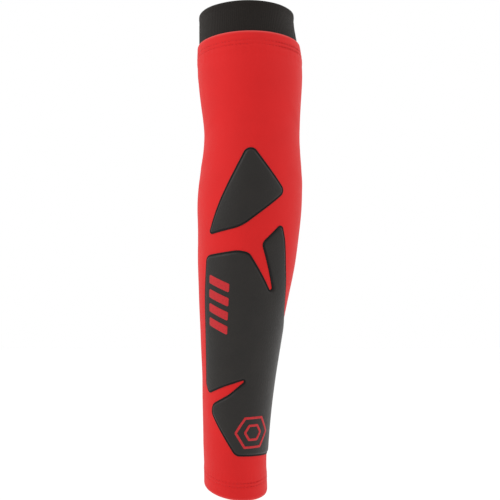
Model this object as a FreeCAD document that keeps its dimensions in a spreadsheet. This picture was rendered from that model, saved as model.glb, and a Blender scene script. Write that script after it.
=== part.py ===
"""Pull-on forearm and elbow guard: a knitted sleeve with an elastic cuff and two bonded foam pads.

Frame: origin at the centre of the wearer's elbow, +Z up the upper arm, -Y out of the point of the
elbow, +X to the right as seen from behind the elbow. Millimetres.

Every tube is a loft through the same stations, grown or shrunk by an offset from the outer face of
the knit. A layer is the space between two such lofts. Pieces are layers cut by planes, and the pads,
prints and seams are patches of a layer cut out along an outline that is wrapped round the sleeve.
"""
import FreeCAD, Part
import math
import os

from FreeCAD import Placement, Rotation, Vector

doc = FreeCAD.newDocument("forearm_guard")
sheet = doc.addObject("Spreadsheet::Sheet", "Dimensions")

# Stations from the top of the cuff to the wrist edge. Columns: height, centre x, centre y, half width,
# half depth, lean about X and roll about Y of the section's plane.
STATIONS = [
    ("cuff_top", 145.7, -2.1, 15.0, 40.7, 43.6, -9, -1),
    ("cuff_foot", 119.3, -0.5, 11.9, 42.3, 44.9, -10.3, -1.2),
    ("upper_arm", 100, 0.7, 9.7, 43.4, 45.6, -8, -0.5),
    ("biceps_end", 75, 1.5, 6.9, 42.0, 44.6, -6, 0),
    ("above_elbow", 43, 2.3, 3.6, 39.6, 43.4, -5, 0),
    ("elbow", -4, 0.8, 0.8, 43.1, 46.0, 1, 0),
    ("below_elbow", -33, -0.1, 2.4, 42.2, 45.4, 5, 0),
    ("forearm_top", -66, -2.6, 6.6, 39.9, 43.4, 8, 0),
    ("forearm_bulk", -108, -6.2, 13.2, 34.9, 39.6, 10, 1),
    ("forearm_mid", -151, -9.1, 20.8, 30.5, 36.0, 10, 1),
    ("forearm_low", -194, -11.4, 28.4, 27.8, 33.2, 10, 2),
    ("wrist_top", -229, -11.7, 34.5, 26.6, 31.8, 11, 4),
    ("wrist_edge", -251.7, -11.3, 38.6, 26.9, 31.3, 12.6, 7),
]
COLUMNS = ("height", "centre_x", "centre_y", "half_width", "half_depth", "lean", "roll")

DIMENSIONS = {
    "knit_thickness": 1.2,
    "cuff_gap": 0.1,
    "cuff_thickness": 1.6,
    "cuff_overlap": 16,
    "gripper_thickness": 0.8,
    "gripper_width": 4,
    "hem_thickness": 1.2,
    "hem_height": 16,
    "backing_thickness": 1.5,
    "pad_flange": 0.7,
    "foam_thickness": 1.2,
    "cover_skin": 0.6,
    "flange_width": 5,
    "print_thickness": 0.3,
    "stitch_thickness": 0.5,
    "stitch_width": 0.8,
    "body_gap": 0.4,
    "outline_radius": 40,
    "emblem_line": 2.0,
}

# Corners of each outline as (degrees round the sleeve from the point of the elbow, height, corner radius).
ELBOW_PAD = [(-2.5, 38, 6), (41, -3, 6), (-8, -31, 30), (-50, -37.9, 2.5), (-31.5, -6.5, 80)]
FOREARM_PAD = [
    (-52.5, -54, 6), (-10, -49.5, 20), (2.5, -51.5, 8),
    (39, -89.5, 1.2),
    (15, -44, 6), (37.7, -27.3, 3), (44.5, -41.5, 25), (51.2, -62, 60), (68.5, -100, 60),
    (111, -138, 30), (111, -190, 40), (91, -222.5, 15),
    (0, -220.3, 12), (-44.5, -184, 7), (-41.5, -176.5, 6), (-13, -168.2, 40),
    (14.5, -155, 0.8),
    (-20, -161.5, 30), (-50.5, -168.4, 5), (-58.5, -160, 6), (-56, -90, 300),
]
LONGEST_REACH = 0.45  # a corner's arc takes up at most this share of the shorter run beside it

# The prints: four slanted bars and nested hexagons, placed in the same degrees and heights.
BAR_LOW, BAR_HIGH = -44, -17
BAR_PITCH, BAR_HEIGHT, BAR_SLANT, BAR_TOP, BAR_COUNT = 11.5, 7.0, 7.5, -69, 4
BAR_CORNER, EMBLEM_CORNER = 1, 2
EMBLEM_CENTRE, EMBLEM_HALF_ANGLE, EMBLEM_HALF_HEIGHT = (29.5, -200), 31, 13.5
EMBLEM_RINGS = (1.0, 0.52)

# The seam down the inner side: its middle, half width, corner radius and the span of each length's thread.
SEAM_ANGLE, SEAM_HALF_ANGLE, SEAM_CORNER = 170, 3, 0.5
SEAM_SPANS = {"upper": (63, 100), "elbow": (-57, 58), "forearm": (-229, -66)}

# Where the bands start, as heights over the hem's plane and over the wrist edge's plane.
CUFF_GRIPS, CUFF_STITCHES = (1, 8, 15), (-11, -8)
WRIST_GRIPS, WRIST_STITCHES = (3, 10), (11, 14)

# Planes as (point on it, normal). The elbow panel is a wedge: short over the point of the elbow, long in
# the crook.
UPPER_SPLIT = (Vector(0, -38, 39), Vector(0, -0.25, 1))
LOWER_SPLIT = (Vector(0, -38, -31), Vector(-0.45, 0.35, 1))
BLOCK = 400

# The wall that cuts a patch stands between these shares of the sleeve's radius, with points this far apart.
INSIDE, OUTSIDE, STEP = 0.85, 1.15, 3.0

tubes, layers = {}, {}


def fill_sheet():
    """Writes every driving size to the sheet, one aliased cell each."""
    rows = list(DIMENSIONS.items())
    for station in STATIONS:
        rows += [(f"{station[0]}_{column}", value) for column, value in zip(COLUMNS, station[1:])]
    for row, (alias, value) in enumerate(rows, 1):
        sheet.set(f"A{row}", alias)
        sheet.set(f"B{row}", str(value))
        sheet.setAlias(f"B{row}", alias)
    doc.recompute()


def size(alias):
    return float(sheet.get(alias))


def station_sizes(name):
    return [size(f"{name}_{column}") for column in COLUMNS]


def section_turn(station):
    """How a station's plane is turned from level."""
    lean, roll = station_sizes(station)[-2:]
    return Rotation(Vector(1, 0, 0), lean) * Rotation(Vector(0, 1, 0), roll)


def station_plane(station):
    """A station's plane as a point and its upward normal."""
    height, x, y = station_sizes(station)[:3]
    return Vector(x, y, height), section_turn(station).multVec(Vector(0, 0, 1))


def section(station, offset, number):
    """One station's ellipse, its long axis along Y, grown by the offset."""
    turn = section_turn(station) * Rotation(Vector(0, 0, 1), 90)
    ellipse = doc.addObject("Part::Ellipse", f"Section_{number}_{station}")
    ellipse.Placement = Placement(Vector(), turn)
    ellipse.setExpression("Placement.Base.x", f"Dimensions.{station}_centre_x")
    ellipse.setExpression("Placement.Base.y", f"Dimensions.{station}_centre_y")
    ellipse.setExpression("Placement.Base.z", f"Dimensions.{station}_height")
    ellipse.setExpression("MajorRadius", f"Dimensions.{station}_half_depth + {offset}")
    ellipse.setExpression("MinorRadius", f"Dimensions.{station}_half_width + {offset}")
    return ellipse


def tube(offset):
    """The solid inside the sleeve's outer face when that face is moved out by the offset."""
    if offset not in tubes:
        number = len(tubes)
        loft = doc.addObject("Part::Loft", f"Tube_{number}")
        loft.Sections = [section(station[0], offset, number) for station in STATIONS]
        loft.Solid = True
        loft.Ruled = False
        tubes[offset] = loft
    return tubes[offset]


def sized(offset):
    """Puts the sheet's name before each alias of a sum such as 'pad_flange + cover_skin'."""
    return " ".join(
        f"Dimensions.{word}" if word[0].isalpha() else word for word in offset.split()
    )


def layer(inner, outer):
    """The space between two tubes, whose offsets are sums of aliases."""
    if (inner, outer) not in layers:
        cut = doc.addObject("Part::Cut", f"Layer_{len(layers)}")
        cut.Base = tube(sized(outer))
        cut.Tool = tube(sized(inner))
        doc.recompute()
        layers[inner, outer] = cut
    return layers[inner, outer]


def half_space(point, normal):
    """A block that fills the side of the plane that its normal points to."""
    block = doc.addObject("Part::Box", "Side")
    block.Length = block.Width = block.Height = BLOCK
    turn = Rotation(Vector(0, 0, 1), normal)
    block.Placement = Placement(point + turn.multVec(Vector(-BLOCK / 2, -BLOCK / 2, 0)), turn)
    return block


def shifted(plane, distance):
    """The plane moved along its normal."""
    point, normal = plane
    unit = Vector(normal).normalize()
    return point + unit * distance, normal


def between(base, low=None, high=None):
    """The part of the base above the low plane and below the high one."""
    sides = []
    if low:
        sides.append(half_space(*low))
    if high:
        sides.append(half_space(high[0], high[1] * -1))
    for side in sides:
        common = doc.addObject("Part::MultiCommon", "Span")
        common.Shapes = [base, side]
        base = common
    return base


def label(obj, name):
    obj.Label = name
    return obj


def feature(name, shape):
    obj = doc.addObject("Part::Feature", "Patch")
    obj.Shape = shape
    obj.Label = name
    return obj


def group(name, members):
    compound = doc.addObject("Part::Compound", "Group")
    compound.Links = members
    return label(compound, name)


def flat_point(angle, height):
    """A point of the flat pattern: along the sleeve's girth, and up."""
    return Vector(math.radians(angle) * size("outline_radius"), height, 0)


def flat_wire(corners):
    """The outline as a flat wire of straight runs joined by tangent arcs."""
    points = [flat_point(angle, height) for angle, height, _ in corners]
    runs, arcs = [], []
    for i, (_, _, radius) in enumerate(corners):
        here = points[i]
        back = (points[i - 1] - here).normalize()
        ahead = (points[(i + 1) % len(points)] - here).normalize()
        half = back.getAngle(ahead) / 2
        shortest = min((points[i - 1] - here).Length, (points[(i + 1) % len(points)] - here).Length)
        reach = min(radius / math.tan(half), LONGEST_REACH * shortest)
        radius = reach * math.tan(half)
        middle = (back + ahead).normalize()
        top = here + middle * (radius / math.sin(half) - radius)
        arcs.append((here + back * reach, top, here + ahead * reach))
    for i, (start, top, end) in enumerate(arcs):
        runs.append(Part.Arc(start, top, end).toShape())
        runs.append(Part.LineSegment(end, arcs[(i + 1) % len(arcs)][0]).toShape())
    return Part.Wire(runs)


def inset(wire, distance):
    """The flat wire moved inwards, or outwards by a negative distance."""
    return Part.Face(wire).makeOffset2D(-distance).OuterWire


def wrapped(point, share):
    """A flat point on the sleeve, at a share of the outer face's distance from the centre line."""
    angle, height = point.x / size("outline_radius"), point.y
    rows = [station_sizes(station[0]) for station in STATIONS]
    above = max((i for i in range(len(rows) - 1) if rows[i][0] >= height), default=0)
    high, low = rows[above], rows[above + 1]
    part = (high[0] - height) / (high[0] - low[0])
    x, y, half_width, half_depth = (h + (l - h) * part for h, l in zip(high[1:5], low[1:5]))
    return Vector(
        x + share * half_width * math.sin(angle), y - share * half_depth * math.cos(angle), height
    )


def fence(wire):
    """A closed wall that stands through the sleeve all along the flat wire."""
    faces = []
    for edge in wire.OrderedEdges:
        count = max(3, math.ceil(edge.Length / STEP))
        points = edge.discretize(count + 1)
        if edge.Orientation == "Reversed":
            points.reverse()
        rails = []
        for share in (INSIDE, OUTSIDE):
            curve = Part.BSplineCurve()
            curve.interpolate([wrapped(point, share) for point in points])
            rails.append(curve.toShape())
        faces.append(Part.makeRuledSurface(*rails))
    return Part.Shell(faces) if len(faces) > 1 else faces[0]


def patch(base, wire):
    """The piece of a layer that lies within the flat wire."""
    pieces, _ = base.Shape.generalFuse([fence(wire)])
    solids = sorted(pieces.Solids, key=lambda solid: solid.Volume)
    if len(solids) != 2:
        raise ValueError(f"an outline cut its layer into {len(solids)} pieces")
    return solids[0]


def pad(name, corners):
    """A pad's cover, its foam and the backing inside the sleeve."""
    edge = flat_wire(corners)
    rise = inset(edge, size("flange_width"))
    foam_edge = inset(rise, size("cover_skin"))
    foam = patch(layer("0", "foam_thickness"), foam_edge)
    dome = patch(layer("0", "foam_thickness + cover_skin"), rise).cut(foam)
    cover = patch(layer("0", "pad_flange"), edge).cut(patch(layer("0", "pad_flange"), rise)).fuse(dome)
    backing = patch(layer("0 - knit_thickness - backing_thickness", "0 - knit_thickness"), rise)
    return [
        feature(f"{name}_pad_cover", cover.removeSplitter()),
        feature(f"{name}_pad_foam", foam),
        feature(f"{name}_pad_backing", backing),
    ]


def prints():
    """The coloured transfer prints on the forearm pad: slanted bars and two nested hexagon outlines."""
    skin = layer("foam_thickness + cover_skin", "foam_thickness + cover_skin + print_thickness")
    bars = []
    for number in range(BAR_COUNT):
        top = BAR_TOP - number * BAR_PITCH
        corners = [
            (BAR_LOW, top, BAR_CORNER),
            (BAR_HIGH, top - BAR_SLANT, BAR_CORNER),
            (BAR_HIGH, top - BAR_SLANT - BAR_HEIGHT, BAR_CORNER),
            (BAR_LOW, top - BAR_HEIGHT, BAR_CORNER),
        ]
        bars.append(patch(skin, flat_wire(corners)))
    rings = []
    angle, height = EMBLEM_CENTRE
    for share in EMBLEM_RINGS:
        wide, tall = EMBLEM_HALF_ANGLE * share, EMBLEM_HALF_HEIGHT * share
        left = [(-wide / 2, -tall), (-wide, 0), (-wide / 2, tall)]
        right = [(-across, -up) for across, up in left]
        outer = flat_wire([(angle + across, height + up, EMBLEM_CORNER) for across, up in left + right])
        rings.append(patch(skin, outer).cut(patch(skin, inset(outer, size("emblem_line")))))
    return [
        feature("forearm_bar_print", Part.Compound(bars)),
        feature("wrist_emblem_print", Part.Compound(rings)),
    ]


def seam(name, low, high):
    """The flatlock seam's cover thread, a flat ridge down the inner side of the arm."""
    left, right = SEAM_ANGLE - SEAM_HALF_ANGLE, SEAM_ANGLE + SEAM_HALF_ANGLE
    corners = [(left, high), (right, high), (right, low), (left, low)]
    edge = flat_wire([(angle, height, SEAM_CORNER) for angle, height in corners])
    return feature(name, patch(layer("0", "stitch_thickness"), edge))


def bands(name, base, plane, starts, width):
    """Bands of a layer, each from a start height over the plane."""
    rings = [between(base, shifted(plane, start), shifted(plane, start + width)) for start in starts]
    return group(name, rings)


def knit_lengths(hem_plane):
    """The knitted sleeve, in its three lengths."""
    knit = layer("0 - knit_thickness", "0")
    below = shifted(LOWER_SPLIT, -size("body_gap"))
    return [
        label(between(knit, UPPER_SPLIT, hem_plane), "upper_sleeve_shell"),
        label(between(knit, LOWER_SPLIT, UPPER_SPLIT), "elbow_sleeve_shell"),
        label(between(knit, None, below), "forearm_sleeve_shell"),
    ]


def cuff(hem_plane):
    """The elastic cuff, tucked inside the hem, with its grips and the hem's stitching."""
    outer = "0 - knit_thickness - cuff_gap"
    inner = f"{outer} - cuff_thickness"
    band = between(layer(inner, outer), shifted(hem_plane, -size("cuff_overlap")))
    grip = layer(f"{inner} - gripper_thickness", inner)
    thread = layer("0", "stitch_thickness")
    return [
        label(band, "cuff_band"),
        bands("cuff_gripper_strips", grip, hem_plane, CUFF_GRIPS, size("gripper_width")),
        bands("cuff_hem_stitching", thread, hem_plane, CUFF_STITCHES, size("stitch_width")),
    ]


def wrist(wrist_plane):
    """The turned hem at the wrist, with its grips and stitching."""
    outer = "0 - knit_thickness"
    inner = f"{outer} - hem_thickness"
    hem = between(layer(inner, outer), None, shifted(wrist_plane, size("hem_height")))
    grip = layer(f"{inner} - gripper_thickness", inner)
    thread = layer("0", "stitch_thickness")
    return [
        label(hem, "wrist_hem"),
        bands("wrist_gripper_strips", grip, wrist_plane, WRIST_GRIPS, size("gripper_width")),
        bands("wrist_hem_stitching", thread, wrist_plane, WRIST_STITCHES, size("stitch_width")),
    ]


def build():
    hem_plane = station_plane("cuff_foot")
    parts = knit_lengths(hem_plane) + cuff(hem_plane) + wrist(station_plane("wrist_edge"))
    parts += pad("elbow", ELBOW_PAD) + pad("forearm", FOREARM_PAD) + prints()
    parts += [seam(f"{name}_seam_thread", low, high) for name, (low, high) in SEAM_SPANS.items()]
    return parts


def check(parts):
    doc.recompute()
    for obj in doc.Objects:
        if "Invalid" in obj.State or "Error" in obj.State:
            raise ValueError(f"{obj.Label} is {obj.State}")
    for obj in parts:
        shape = obj.Shape
        if shape.isNull() or not shape.isValid() or not shape.Solids:
            raise ValueError(f"{obj.Label} has no valid solid")
        print(f"{obj.Label}: {len(shape.Solids)} solids, {shape.Volume:.0f} mm3")


def export(parts):
    os.makedirs("parts", exist_ok=True)
    for name in os.listdir("parts"):
        os.remove(os.path.join("parts", name))
    for obj in parts:
        obj.Shape.exportStep(f"parts/{obj.Label}.step")


fill_sheet()
finished = build()
check(finished)
export(finished)
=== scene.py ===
"""Forearm and elbow guard: a red knitted sleeve with an elastic cuff and two bonded black pads.

Everything soft is laid on one smooth skin, which is measured on the CAD sleeve by rays from its centre
line. A place on the skin is a ring (how far down the sleeve) and an angle (how far round it, from the
point of the elbow towards +X). Points and the room are in metres; heights, outlines and thicknesses are
in mm.
"""
import math

import bpy
import numpy as np
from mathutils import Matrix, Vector, geometry
from mathutils.bvhtree import BVHTree


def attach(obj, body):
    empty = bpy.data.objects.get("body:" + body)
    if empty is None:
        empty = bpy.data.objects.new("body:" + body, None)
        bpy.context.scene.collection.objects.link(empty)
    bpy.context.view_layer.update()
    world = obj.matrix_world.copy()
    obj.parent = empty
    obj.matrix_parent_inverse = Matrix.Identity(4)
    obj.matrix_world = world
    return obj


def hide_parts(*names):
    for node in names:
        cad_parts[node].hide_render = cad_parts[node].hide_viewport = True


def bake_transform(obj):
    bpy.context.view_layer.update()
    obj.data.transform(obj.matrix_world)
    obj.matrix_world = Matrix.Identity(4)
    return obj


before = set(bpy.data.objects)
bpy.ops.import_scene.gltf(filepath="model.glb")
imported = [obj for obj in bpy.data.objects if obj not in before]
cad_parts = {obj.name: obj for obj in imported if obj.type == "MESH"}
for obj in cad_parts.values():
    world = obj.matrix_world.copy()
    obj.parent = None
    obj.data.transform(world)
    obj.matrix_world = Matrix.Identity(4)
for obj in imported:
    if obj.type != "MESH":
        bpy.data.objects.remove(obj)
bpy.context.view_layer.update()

MM = 0.001
UPPER, FOREARM = "upper_sleeve", "forearm_sleeve"

# The sleeve's stations, as in the CAD: height, centre x, centre y, half width and half depth in mm, then lean
# and roll in degrees.
STATIONS = np.array([
    (145.7, -2.1, 15.0, 40.7, 43.6, -9, -1),
    (119.3, -0.5, 11.9, 42.3, 44.9, -10.3, -1.2),
    (100, 0.7, 9.7, 43.4, 45.6, -8, -0.5),
    (75, 1.5, 6.9, 42.0, 44.6, -6, 0),
    (43, 2.3, 3.6, 39.6, 43.4, -5, 0),
    (-4, 0.8, 0.8, 43.1, 46.0, 1, 0),
    (-33, -0.1, 2.4, 42.2, 45.4, 5, 0),
    (-66, -2.6, 6.6, 39.9, 43.4, 8, 0),
    (-108, -6.2, 13.2, 34.9, 39.6, 10, 1),
    (-151, -9.1, 20.8, 30.5, 36.0, 10, 1),
    (-194, -11.4, 28.4, 27.8, 33.2, 10, 2),
    (-229, -11.7, 34.5, 26.6, 31.8, 11, 4),
    (-251.7, -11.3, 38.6, 26.9, 31.3, 12.6, 7),
], float)
CENTRE_X, CENTRE_Y, HALF_WIDTH, HALF_DEPTH, LEAN_ANGLE, ROLL_ANGLE = range(1, 7)  # a station's columns
CUFF_TOP, HEM, WRIST = 145.7, 119.3, -251.7  # heights in mm
CUFF_TUCK = 16.0  # how far the cuff reaches down inside the hem
CUFF_SUNK = 1.3  # the cuff's outer face lies this far inside the skin
CUFF_THICK, KNIT, LINING = 1.6, 1.2, 1.5  # thicknesses in mm

# Corners of the pads' outlines: degrees round from the point of the elbow, height (mm), corner radius (mm).
# They are drawn on a flat pattern, where an angle is this radius's arc.
PATTERN_RADIUS = 40.0
ELBOW_PAD = [(-2.5, 38, 6), (41, -3, 6), (-8, -31, 30), (-50, -37.9, 2.5), (-31.5, -6.5, 80)]
FOREARM_PAD = [
    (-52.5, -54, 6), (-10, -49.5, 20), (2.5, -51.5, 8),
    (39, -89.5, 1.2),
    (15, -44, 6), (37.7, -27.3, 3), (44.5, -41.5, 25), (51.2, -62, 60), (68.5, -100, 60),
    (111, -138, 30), (111, -190, 40), (91, -222.5, 15),
    (0, -220.3, 12), (-44.5, -184, 7), (-41.5, -176.5, 6), (-13, -168.2, 40),
    (14.5, -155, 0.8),
    (-20, -161.5, 30), (-50.5, -168.4, 5), (-58.5, -160, 6), (-56, -90, 300),
]
BAR_LOW, BAR_HIGH = -44, -17  # the bars' ends in degrees
BAR_PITCH, BAR_HEIGHT, BAR_SLANT, BAR_TOP, BAR_COUNT, BAR_CORNER = 11.5, 7.0, 7.5, -69, 4, 1
EMBLEM_CENTRE, EMBLEM_HALF_ANGLE, EMBLEM_HALF_HEIGHT = (29.5, -200), 31, 13.5
EMBLEM_LINE, EMBLEM_CORNER, EMBLEM_SHARES = 2.0, 2, (1.0, 0.52)
SEAM_ANGLE = math.radians(170)
SEAM_TOP, SEAM_END = 112.0, -243.0

# ---- the skin
RING_STEP_MM = 1.5
HEIGHTS = np.linspace(CUFF_TOP, WRIST, int(round((CUFF_TOP - WRIST) / RING_STEP_MM)) + 1)
RINGS, TURNS = len(HEIGHTS), 256
RING_MM = HEIGHTS[0] - HEIGHTS[1]
TURN_STEP = 2 * math.pi / TURNS


def column(index, height):
    """One of the stations' columns at a height in mm."""
    return np.interp(-np.asarray(height, float), -STATIONS[:, 0], STATIONS[:, index])


def smoothed(values, sigma):
    """Gaussian smoothing along the first axis, with the ends kept in place."""
    reach = int(3 * sigma) + 1
    values = np.asarray(values, float)
    first, last = values[:1], values[-1:]
    padded = np.concatenate([2 * first - values[reach:0:-1], values, 2 * last - values[-2:-reach - 2:-1]])
    kernel = np.exp(-0.5 * (np.arange(-reach, reach + 1) / sigma) ** 2)
    kernel /= kernel.sum()
    total = np.zeros_like(values)
    for k, weight in enumerate(kernel):
        total += weight * padded[k:k + len(values)]
    return total


def tree_of(*names):
    """The CAD nodes' faces, ready for rays."""
    points, faces = [], []
    for name in names:
        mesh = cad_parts[name].data
        start = len(points)
        points += [v.co.copy() for v in mesh.vertices]
        faces += [[start + i for i in p.vertices] for p in mesh.polygons]
    return BVHTree.FromPolygons(points, faces)


CENTRE_SMOOTH = 8 / RING_MM
CENTRES = np.stack([column(CENTRE_X, HEIGHTS), column(CENTRE_Y, HEIGHTS), HEIGHTS], -1)
CENTRES = smoothed(CENTRES, CENTRE_SMOOTH) * MM
LEAN = np.radians(smoothed(column(LEAN_ANGLE, HEIGHTS), CENTRE_SMOOTH))
ROLL = np.radians(smoothed(column(ROLL_ANGLE, HEIGHTS), CENTRE_SMOOTH))
# Each ring's unit vectors across the arm and from front to back.
ACROSS = np.stack([np.cos(ROLL), np.sin(ROLL) * np.sin(LEAN), -np.sin(ROLL) * np.cos(LEAN)], -1)
DEEP = np.stack([np.zeros(RINGS), np.cos(LEAN), np.sin(LEAN)], -1)


def measure_radii():
    """How far the CAD sleeve's outer face is from the centre line, ring by ring, with its facets smoothed
    away. Rays start outside it, in metres, and a hit nearer to the line than least is no outer face."""
    sleeve = tree_of("upper_sleeve_shell", "elbow_sleeve_shell", "forearm_sleeve_shell")
    cuff = tree_of("cuff_band")
    start, least, rim = 0.09, 0.018, 1.0
    harmonics, smooth_mm = 9, 2.5
    radii = np.full((RINGS, TURNS), np.nan)
    for i in range(RINGS):
        height = HEIGHTS[i]
        if abs(height - HEM) < rim or height > CUFF_TOP - rim or height < WRIST + rim:
            continue
        tree, extra = (cuff, CUFF_SUNK * MM) if height > HEM else (sleeve, 0.0)
        for j in range(TURNS):
            way = ACROSS[i] * math.sin(j * TURN_STEP) - DEEP[i] * math.cos(j * TURN_STEP)
            hit = tree.ray_cast(Vector(CENTRES[i] + way * start), Vector(-way))
            if hit[0] is not None and start - hit[3] > least:
                radii[i, j] = start - hit[3] + extra
    rows = np.arange(RINGS)
    for j in range(TURNS):
        known = ~np.isnan(radii[:, j])
        radii[:, j] = np.interp(rows, rows[known], radii[known, j])
    wave = np.fft.rfft(radii, axis=1)
    wave[:, harmonics:] = 0
    return smoothed(np.fft.irfft(wave, TURNS, axis=1), smooth_mm / RING_MM)


RADII = measure_radii()


def cubic(t):
    """Catmull-Rom weights of the four grid lines round a place."""
    return (
        0.5 * (-t**3 + 2 * t**2 - t),
        0.5 * (3 * t**3 - 5 * t**2 + 2),
        0.5 * (-3 * t**3 + 4 * t**2 + t),
        0.5 * (t**3 - t**2),
    )


def skin_point(ring, angle):
    """The skin's point at a ring number and an angle in radians; arrays give arrays."""
    ring, angle = np.broadcast_arrays(np.asarray(ring, float), np.asarray(angle, float))
    i = np.clip(np.floor(ring).astype(int), 1, RINGS - 3)
    turn = angle / TURN_STEP
    j = np.floor(turn).astype(int)
    down, about = cubic(ring - i), cubic(turn - j)
    radius = np.zeros(ring.shape)
    centre, across, deep = (np.zeros(ring.shape + (3,)) for _ in range(3))
    for a in range(4):
        row = i + a - 1
        centre += down[a][..., None] * CENTRES[row]
        across += down[a][..., None] * ACROSS[row]
        deep += down[a][..., None] * DEEP[row]
        for b in range(4):
            radius += down[a] * about[b] * RADII[row, (j + b - 1) % TURNS]
    way = across * np.sin(angle)[..., None] - deep * np.cos(angle)[..., None]
    return centre + way * radius[..., None]


def skin(ring, angle, height_mm=0.0):
    """A point over the skin, at a height along its normal in mm, and that normal."""
    half_ring, half_turn = 0.5, 0.01
    point = skin_point(ring, angle)
    along = skin_point(ring + half_ring, angle) - skin_point(ring - half_ring, angle)
    about = skin_point(ring, angle + half_turn) - skin_point(ring, angle - half_turn)
    normal = np.cross(along, about)
    normal /= np.linalg.norm(normal, axis=-1, keepdims=True)
    if np.mean(np.sum(normal * (point - centre_of(ring)), -1)) < 0:
        normal = -normal
    return point + normal * (np.asarray(height_mm)[..., None] * MM), normal


def centre_of(ring):
    """The centre line's point at a ring number."""
    ring = np.asarray(ring, float)
    rows = np.arange(RINGS)
    return np.stack([np.interp(ring, rows, CENTRES[:, k]) for k in range(3)], -1)


def ring_at(height):
    """The ring number whose centre is at a station height in mm."""
    return (CUFF_TOP - np.asarray(height, float)) / RING_MM


def ellipse_angle(point, height):
    """The angle that the CAD's outlines give a point in metres: how far round its station's ellipse it is."""
    x = (point[..., 0] / MM - column(CENTRE_X, height)) / column(HALF_WIDTH, height)
    y = (point[..., 1] / MM - column(CENTRE_Y, height)) / column(HALF_DEPTH, height)
    return np.arctan2(x, -y)


def locate(angle, height):
    """The ring and angle of a place that is given as in the CAD: an ellipse's angle, a true height in mm."""
    passes = 10
    ring, turn = ring_at(height) * np.ones_like(angle), np.array(angle, float)
    for _ in range(passes):
        point = skin_point(ring, turn)
        turn += (angle - ellipse_angle(point, height) + math.pi) % (2 * math.pi) - math.pi
        ring += (point[..., 2] / MM - height) / RING_MM
    return ring, turn


def girth_radius(height):
    """The mean radius of the station's ellipse at a height, in mm."""
    return (column(HALF_WIDTH, height) + column(HALF_DEPTH, height)) / 2


# ---- outlines on the flat pattern, in mm
LONGEST_REACH = 0.45  # a rounded corner takes at most this share of its shorter side


def rotated(vector, angle):
    """A flat vector turned by an angle in radians."""
    cosine, sine = math.cos(angle), math.sin(angle)
    return np.array((vector[0] * cosine - vector[1] * sine, vector[0] * sine + vector[1] * cosine))


def outline(corners, step=0.9):
    """A closed outline with rounded corners, as points of the flat pattern: girth, height."""
    points = [np.array((math.radians(a) * PATTERN_RADIUS, h)) for a, h, _ in corners]
    arcs = []
    for i, (_, _, radius) in enumerate(corners):
        here, back, ahead = points[i], points[i - 1] - points[i], points[(i + 1) % len(points)] - points[i]
        shortest = min(np.linalg.norm(back), np.linalg.norm(ahead))
        back, ahead = back / np.linalg.norm(back), ahead / np.linalg.norm(ahead)
        half = math.acos(np.clip(back @ ahead, -1, 1)) / 2
        reach = min(radius / math.tan(half), LONGEST_REACH * shortest)
        radius = reach * math.tan(half)
        middle = (back + ahead) / np.linalg.norm(back + ahead)
        centre = here + middle * radius / math.sin(half)
        start, end = here + back * reach, here + ahead * reach
        first, sweep = start - centre, end - centre
        total = math.atan2(first[0] * sweep[1] - first[1] * sweep[0], first @ sweep)
        count = max(3, math.ceil(abs(total) * radius / step) + 1)
        arcs.append([centre + rotated(first, t) for t in np.linspace(0, total, count)])
    line = []
    for i, arc in enumerate(arcs):
        line += arc
        start, end = arc[-1], arcs[(i + 1) % len(arcs)][0]
        count = max(1, math.ceil(np.linalg.norm(end - start) / step))
        line += [start + (end - start) * k / count for k in range(1, count)]
    return np.array(line)


def to_true(flat):
    """Pattern points with their girth as it really is at their height, so that distances are true."""
    return np.stack([flat[:, 0] / PATTERN_RADIUS * girth_radius(flat[:, 1]), flat[:, 1]], -1)


def from_true(true):
    """The ellipse angle and height of true pattern points."""
    return true[:, 0] / girth_radius(true[:, 1]), true[:, 1]


def distance(points, loop):
    """Each point's distance from a closed loop, negative outside it, in batches to keep the tables small."""
    batch, tiny = 4000, 1e-12
    start, end = loop, np.roll(loop, -1, 0)
    way = end - start
    length = np.maximum((way**2).sum(1), tiny)
    result = np.empty(len(points))
    for k in range(0, len(points), batch):
        part = points[k:k + batch]
        offset = part[:, None] - start
        share = np.clip((offset * way).sum(2) / length, 0, 1)
        gap = np.sqrt(((offset - share[..., None] * way) ** 2).sum(2)).min(1)
        above = (start[:, 1] > part[:, 1, None]) != (end[:, 1] > part[:, 1, None])
        rise = np.where(np.abs(way[:, 1]) < tiny, tiny, way[:, 1])
        cross = start[:, 0] + (part[:, 1, None] - start[:, 1]) * way[:, 0] / rise
        inside = (above & (part[:, 0, None] < cross)).sum(1) % 2 == 1
        result[k:k + batch] = np.where(inside, gap, -gap)
    return result


def smoothstep(low, high, x):
    """0 below low, 1 above high, and a smooth rise between them."""
    t = np.clip((np.asarray(x, float) - low) / (high - low), 0, 1)
    return t * t * (3 - 2 * t)


def rounded(gap, radius):
    """A quarter round: 0 at the edge, rising to 1 at the radius from it."""
    return np.sqrt(np.clip(1 - (1 - np.clip(gap / radius, 0, 1)) ** 2, 0, 1))


def bump_at(gap, width):
    """A bell curve: 1 where the gap is 0, falling away over the width."""
    return np.exp(-0.5 * (gap / width) ** 2)


def inward_way(loop):
    """At each point of a loop, the unit vector across it to the inside."""
    way = np.roll(loop, -1, 0) - np.roll(loop, 1, 0)
    way /= np.linalg.norm(way, axis=1, keepdims=True)
    inside = np.stack([-way[:, 1], way[:, 0]], -1)
    return inside if distance(loop[:1] + inside[:1] * 0.3, loop)[0] > 0 else -inside


ELBOW_LOOP, FOREARM_LOOP = to_true(outline(ELBOW_PAD)), to_true(outline(FOREARM_PAD))

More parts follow.
